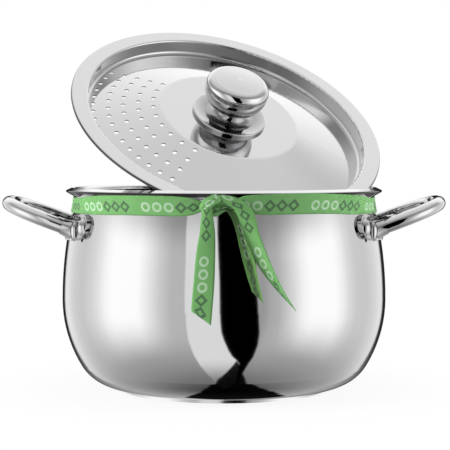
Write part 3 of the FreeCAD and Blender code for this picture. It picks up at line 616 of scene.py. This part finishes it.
def tie(piece, node):
    """Hands a ribbon piece over to the pot in place of its solid."""
    piece.visible_glossy = False
    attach(piece, "pot")
    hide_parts(node)


green_weave = ribbon_weave("green_ribbon_face", (0.125, 0.335, 0.098), (0.19, 0.43, 0.15))
# The reverse side carries a painted shadow of the knot at its top
green_reverse = ribbon_weave(
    "green_ribbon_reverse", (0.085, 0.225, 0.05), (0.13, 0.3, 0.078), knot_shadow=(3.4, 6.6),
)

# Band: heading in degrees, then top edge's height and reach and bottom edge's height in millimetres
BAND = [
    (-200, 141.2, 110.8, 130.4), (-90, 141.2, 110.8, 130.3), (-76, 141.2, 111.0, 130.3),
    (-68, 141.3, 111.8, 130.3), (-62, 142.0, 113.2, 130.3), (-56, 142.9, 114.6, 130.3),
    (-47, 143.9, 116.0, 130.5), (-36, 144.4, 116.6, 130.9), (-22, 144.5, 116.7, 130.9),
    (-14, 143.9, 116.3, 131.0), (-10, 142.8, 115.2, 132.2), (-7.5, 141.2, 113.8, 134.2),
    (-4, 140.6, 113.2, 135.0), (3.5, 142.4, 114.4, 134.4), (6.5, 144.6, 116.4, 133.4),
    (9.5, 145.2, 116.9, 132.5), (12.5, 145.5, 117.0, 132.0), (17, 145.8, 117.0, 131.8),
    (24, 146.1, 117.0, 131.9), (32, 146.0, 117.0, 131.9), (42, 145.1, 116.9, 131.5),
    (53, 143.8, 116.2, 130.5), (61, 142.4, 114.2, 130.3), (68, 141.3, 111.9, 130.3),
    (76, 141.2, 111.0, 130.3), (90, 141.2, 110.8, 130.3), (200, 141.2, 110.8, 130.4),
]
BAND_STAND = 0.8
BAND_ROWS = 720
BAND_COLUMNS = 12


def at_heading(rows, heading):
    """Numbers on smooth curves between rows that start with their heading."""
    first = max(number for number in range(len(rows) - 1) if rows[number][0] <= heading)
    low, high = rows[first], rows[first + 1]
    before, after = rows[max(first - 1, 0)], rows[min(first + 2, len(rows) - 1)]
    gap = high[0] - low[0]
    rest = (heading - low[0]) / gap
    numbers = []
    for column in range(1, len(low)):
        leaving = (high[column] - before[column]) / (high[0] - before[0]) * gap
        arriving = (after[column] - low[column]) / (after[0] - low[0]) * gap
        rise = high[column] - low[column]
        bend = (leaving + arriving - 2 * rise) * rest ** 3
        bend += (3 * rise - 2 * leaving - arriving) * rest ** 2
        numbers.append(low[column] + leaving * rest + bend)
    return numbers


def band_line(heading, columns):
    """One line of points up the band, with folds where the knot draws it together."""
    top, top_reach, bottom = at_heading(BAND, heading)
    bottom_reach = wall_radius(bottom * MM) / MM + BAND_STAND
    drawn = math.exp(-(((heading + 3) / 8) ** 2))
    turn = math.radians(heading)
    line = []
    for column in range(columns + 1):
        share = column / columns
        loose = 0.2 * math.sin(turn * 11 + share * 2) * math.sin(share * math.pi)
        fold = drawn * (0.8 + 0.9 * math.sin(share * 15 + 0.6))
        reach = (bottom_reach + (top_reach - bottom_reach) * share + loose + fold) * MM
        height = (bottom + (top - bottom) * share) * MM
        line.append(Vector((reach * math.sin(turn), -reach * math.cos(turn), height)))
    return line


band_grid = [band_line(-180 + row * 360 / BAND_ROWS, BAND_COLUMNS) for row in range(BAND_ROWS + 1)]
band = ribbon_mesh("ribbon_band_cloth", [band_grid], [0.4], green_weave)
tie(band, "ribbon_band")

# Hanging ends, in millimetres: side, height and stand of the left edge, of the right edge, and bow
LEFT_END = [
    (-12.9, 138.6, 5.5, -7.9, 138.0, 5.5, 0.8),
    (-14.6, 135.0, 5.2, -7.4, 134.0, 5.2, 0.9),
    (-15.0, 131.4, 4.8, -7.1, 130.4, 4.8, 0.9),
    (-15.5, 126.1, 4.2, -6.5, 125.5, 4.2, 0.8),
    (-16.1, 120.3, 3.8, -5.9, 120.3, 3.8, 0.7),
    (-17.3, 113.6, 3.4, -5.7, 113.6, 3.4, 0.6),
    (-18.2, 107.6, 3.0, -5.7, 107.7, 3.2, 0.5),
    (-19.1, 99.7, 2.6, -5.9, 99.9, 3.0, 0.4),
    (-19.8, 91.8, 2.4, -6.1, 92.0, 3.0, 0.3),
    (-20.6, 82.6, 2.4, -6.6, 82.8, 3.2, 0.2),
    (-21.3, 74.7, 2.6, -7.3, 74.3, 3.6, 0.1),
    (-21.7, 68.6, 2.8, -8.5, 59.4, 4.2, 0.0),
]
MIDDLE_END = [
    (-1.0, 137.9, 3.0, 6.3, 137.9, 1.5, 0.3),
    (1.6, 134.7, 4.4, 8.6, 134.2, 1.5, 0.3),
    (3.6, 132.4, 5.4, 10.9, 129.3, 1.5, 0.3),
    (5.7, 128.5, 6.6, 13.0, 124.7, 1.5, 0.3),
    (8.2, 120.6, 8.2, 15.2, 117.4, 1.4, 0.3),
    (10.2, 111.3, 9.6, 17.5, 108.9, 1.3, 0.2),
    (12.8, 100.9, 10.6, 20.3, 100.9, 1.2, 0.2),
    (15.4, 91.5, 11.2, 21.8, 93.3, 1.2, 0.1),
    (17.0, 86.7, 11.4, 23.8, 83.7, 1.2, 0.0),
    (18.6, 82.1, 11.4, 26.2, 73.6, 1.2, 0.0),
]
RIGHT_END = [
    (-7.0, 145.5, 4.0, 2.0, 145.9, 2.0, 0.4),
    (-4.9, 145.0, 6.0, 5.0, 145.5, 3.5, 0.8),
    (-2.0, 142.3, 7.0, 8.9, 143.5, 5.0, 1.0),
    (1.8, 139.0, 7.0, 12.7, 140.9, 6.0, 1.0),
    (5.6, 137.0, 6.5, 16.1, 138.1, 7.0, 0.8),
    (7.8, 133.9, 6.0, 18.9, 135.0, 8.0, 0.6),
    (9.5, 130.5, 5.5, 20.6, 130.8, 9.0, 0.5),
    (11.2, 125.8, 5.0, 21.9, 125.7, 10.0, 0.4),
    (13.9, 118.0, 5.0, 23.5, 119.1, 11.5, 0.3),
    (18.7, 106.7, 5.0, 26.6, 111.1, 13.0, 0.2),
    (23.0, 97.8, 5.0, 29.9, 102.5, 14.0, 0.1),
    (30.2, 87.9, 6.0, 34.3, 92.5, 15.0, 0.1),
    (36.2, 80.8, 7.0, 38.9, 83.1, 16.0, 0.4),
    (41.2, 75.6, 8.5, 42.9, 76.4, 16.6, 0.5),
    (47.0, 69.6, 11.0, 47.3, 69.5, 16.5, 0.1),
]
END_ROWS = 70
END_COLUMNS = 10
# Each end's stations, where the print starts on it, its flat length and its side of the ribbon
ends = {
    "left": (LEFT_END, 6.1, 0.08, green_weave),
    "middle": (MIDDLE_END, 3.2, 0.068, green_reverse),
    "right": (RIGHT_END, 1.0, 0.093, green_weave),
}
for name, (stations, start, length, weave) in ends.items():
    grid = strip_grid(stations, END_ROWS, END_COLUMNS)
    hanging = ribbon_mesh(f"ribbon_{name}_end_cloth", [grid], [start], weave)
    tie(hanging, f"ribbon_tail_{name}")

# Knot: a gathered core and a slanting wrap over it, drawn from the same ribbon
KNOT_CORE = [
    (-14.0, 135.8, 1.0, -13.3, 139.8, 1.0, 0.3),
    (-10.6, 133.3, 2.2, -10.6, 140.6, 2.2, 0.6),
    (-7.3, 131.1, 2.4, -7.6, 140.3, 2.8, 1.0),
    (-4.3, 131.2, 2.4, -5.0, 140.0, 3.0, 1.2),
    (-1.7, 133.1, 2.4, -2.3, 140.0, 3.0, 1.1),
    (1.0, 134.5, 2.4, 0.7, 140.0, 2.8, 0.9),
    (4.3, 134.3, 2.2, 4.0, 139.9, 2.4, 0.8),
    (8.0, 133.8, 1.8, 7.3, 140.6, 1.8, 0.6),
    (11.3, 134.5, 1.0, 10.6, 142.5, 1.0, 0.3),
]
KNOT_WRAP = [
    (-12.0, 134.2, 2.0, -16.5, 135.5, 2.0, 0.3),
    (-10.2, 135.3, 5.0, -16.4, 137.1, 4.5, 0.8),
    (-8.3, 136.6, 7.0, -15.5, 139.7, 6.2, 1.0),
    (-5.9, 138.8, 8.0, -13.9, 142.0, 7.2, 1.2),
    (-3.6, 140.3, 8.2, -11.5, 143.6, 7.6, 1.2),
    (-2.2, 141.8, 7.6, -9.1, 144.8, 7.0, 1.0),
    (-3.3, 144.0, 6.0, -7.1, 145.7, 5.4, 0.7),
    (-4.3, 145.1, 3.4, -6.2, 145.9, 3.0, 0.3),
]
KNOT_ROWS = 40
SIDEWAYS = 0
UPWARD = 2


def gathered(stations, columns, depth, crowding, lean, axis):
    """A strip drawn into small folds that lean along one axis."""
    grid = strip_grid(stations, KNOT_ROWS, columns)
    for line in grid:
        for column, point in enumerate(line):
            out = Vector((point.x, point.y, 0)).normalized()
            point += out * (depth * MM * math.sin(column * crowding + point[axis] / MM * lean))
    return grid


knot_grids = [
    gathered(KNOT_CORE, 16, 0.9, 0.95, 0.22, SIDEWAYS),
    gathered(KNOT_WRAP, 12, 0.35, 1.2, 0.3, UPWARD),
]
knot = ribbon_mesh("ribbon_knot_cloth", knot_grids, [2.2, 4.4], green_weave)
tie(knot, "ribbon_knot")


# Stage, lamps and camera
FLOOR_HEIGHT = -0.0002


def paper_disc(radius, count):
    """A round sheet of floor paper just under the pot."""
    turns = [2 * math.pi * number / count for number in range(count)]
    ring = [(radius * math.cos(turn), radius * math.sin(turn), FLOOR_HEIGHT) for turn in turns]
    mesh = bpy.data.meshes.new("floor")
    mesh.from_pydata(ring, [], [list(range(count))])
    mesh.materials.append(floor_paper())
    disc = bpy.data.objects.new("floor", mesh)
    bpy.context.scene.collection.objects.link(disc)
    disc.visible_glossy = False
    return disc


paper_disc(1.5, 96)
world = bpy.data.worlds.new("studio")
studio(world)
scene = bpy.context.scene
scene.world = world
scene.view_settings.view_transform = "Standard"
soft_lamp("left_softbox", (-1.38, -0.45, 0.5), (0, 0, 0.1), 0.7, 26)
soft_lamp("right_softbox", (1.45, -0.1, 0.5), (0, 0, 0.1), 0.7, 22)
soft_lamp("top_softbox", (0, 0.1, 1.6), (0, 0, 0), 1.2, 5)

# The picture's width, the lens and the way the camera points down and aside, in pixels
PHOTO_WIDTH = 450
PHOTO_FOCUS = 1489
LOOK_DOWN = 70
LOOK_ASIDE = -1
SENSOR_WIDTH = 36
lens = bpy.data.cameras.new("camera")
lens.sensor_fit = "HORIZONTAL"
lens.sensor_width = SENSOR_WIDTH
lens.lens = PHOTO_FOCUS / PHOTO_WIDTH * SENSOR_WIDTH
camera = bpy.data.objects.new("camera", lens)
scene.collection.objects.link(camera)
camera.location = (0, -1.1, 0.1717)
tilt = math.pi / 2 - math.atan(LOOK_DOWN / PHOTO_FOCUS)
camera.rotation_euler = (tilt, 0, math.atan(LOOK_ASIDE / PHOTO_FOCUS))
scene.camera = camera
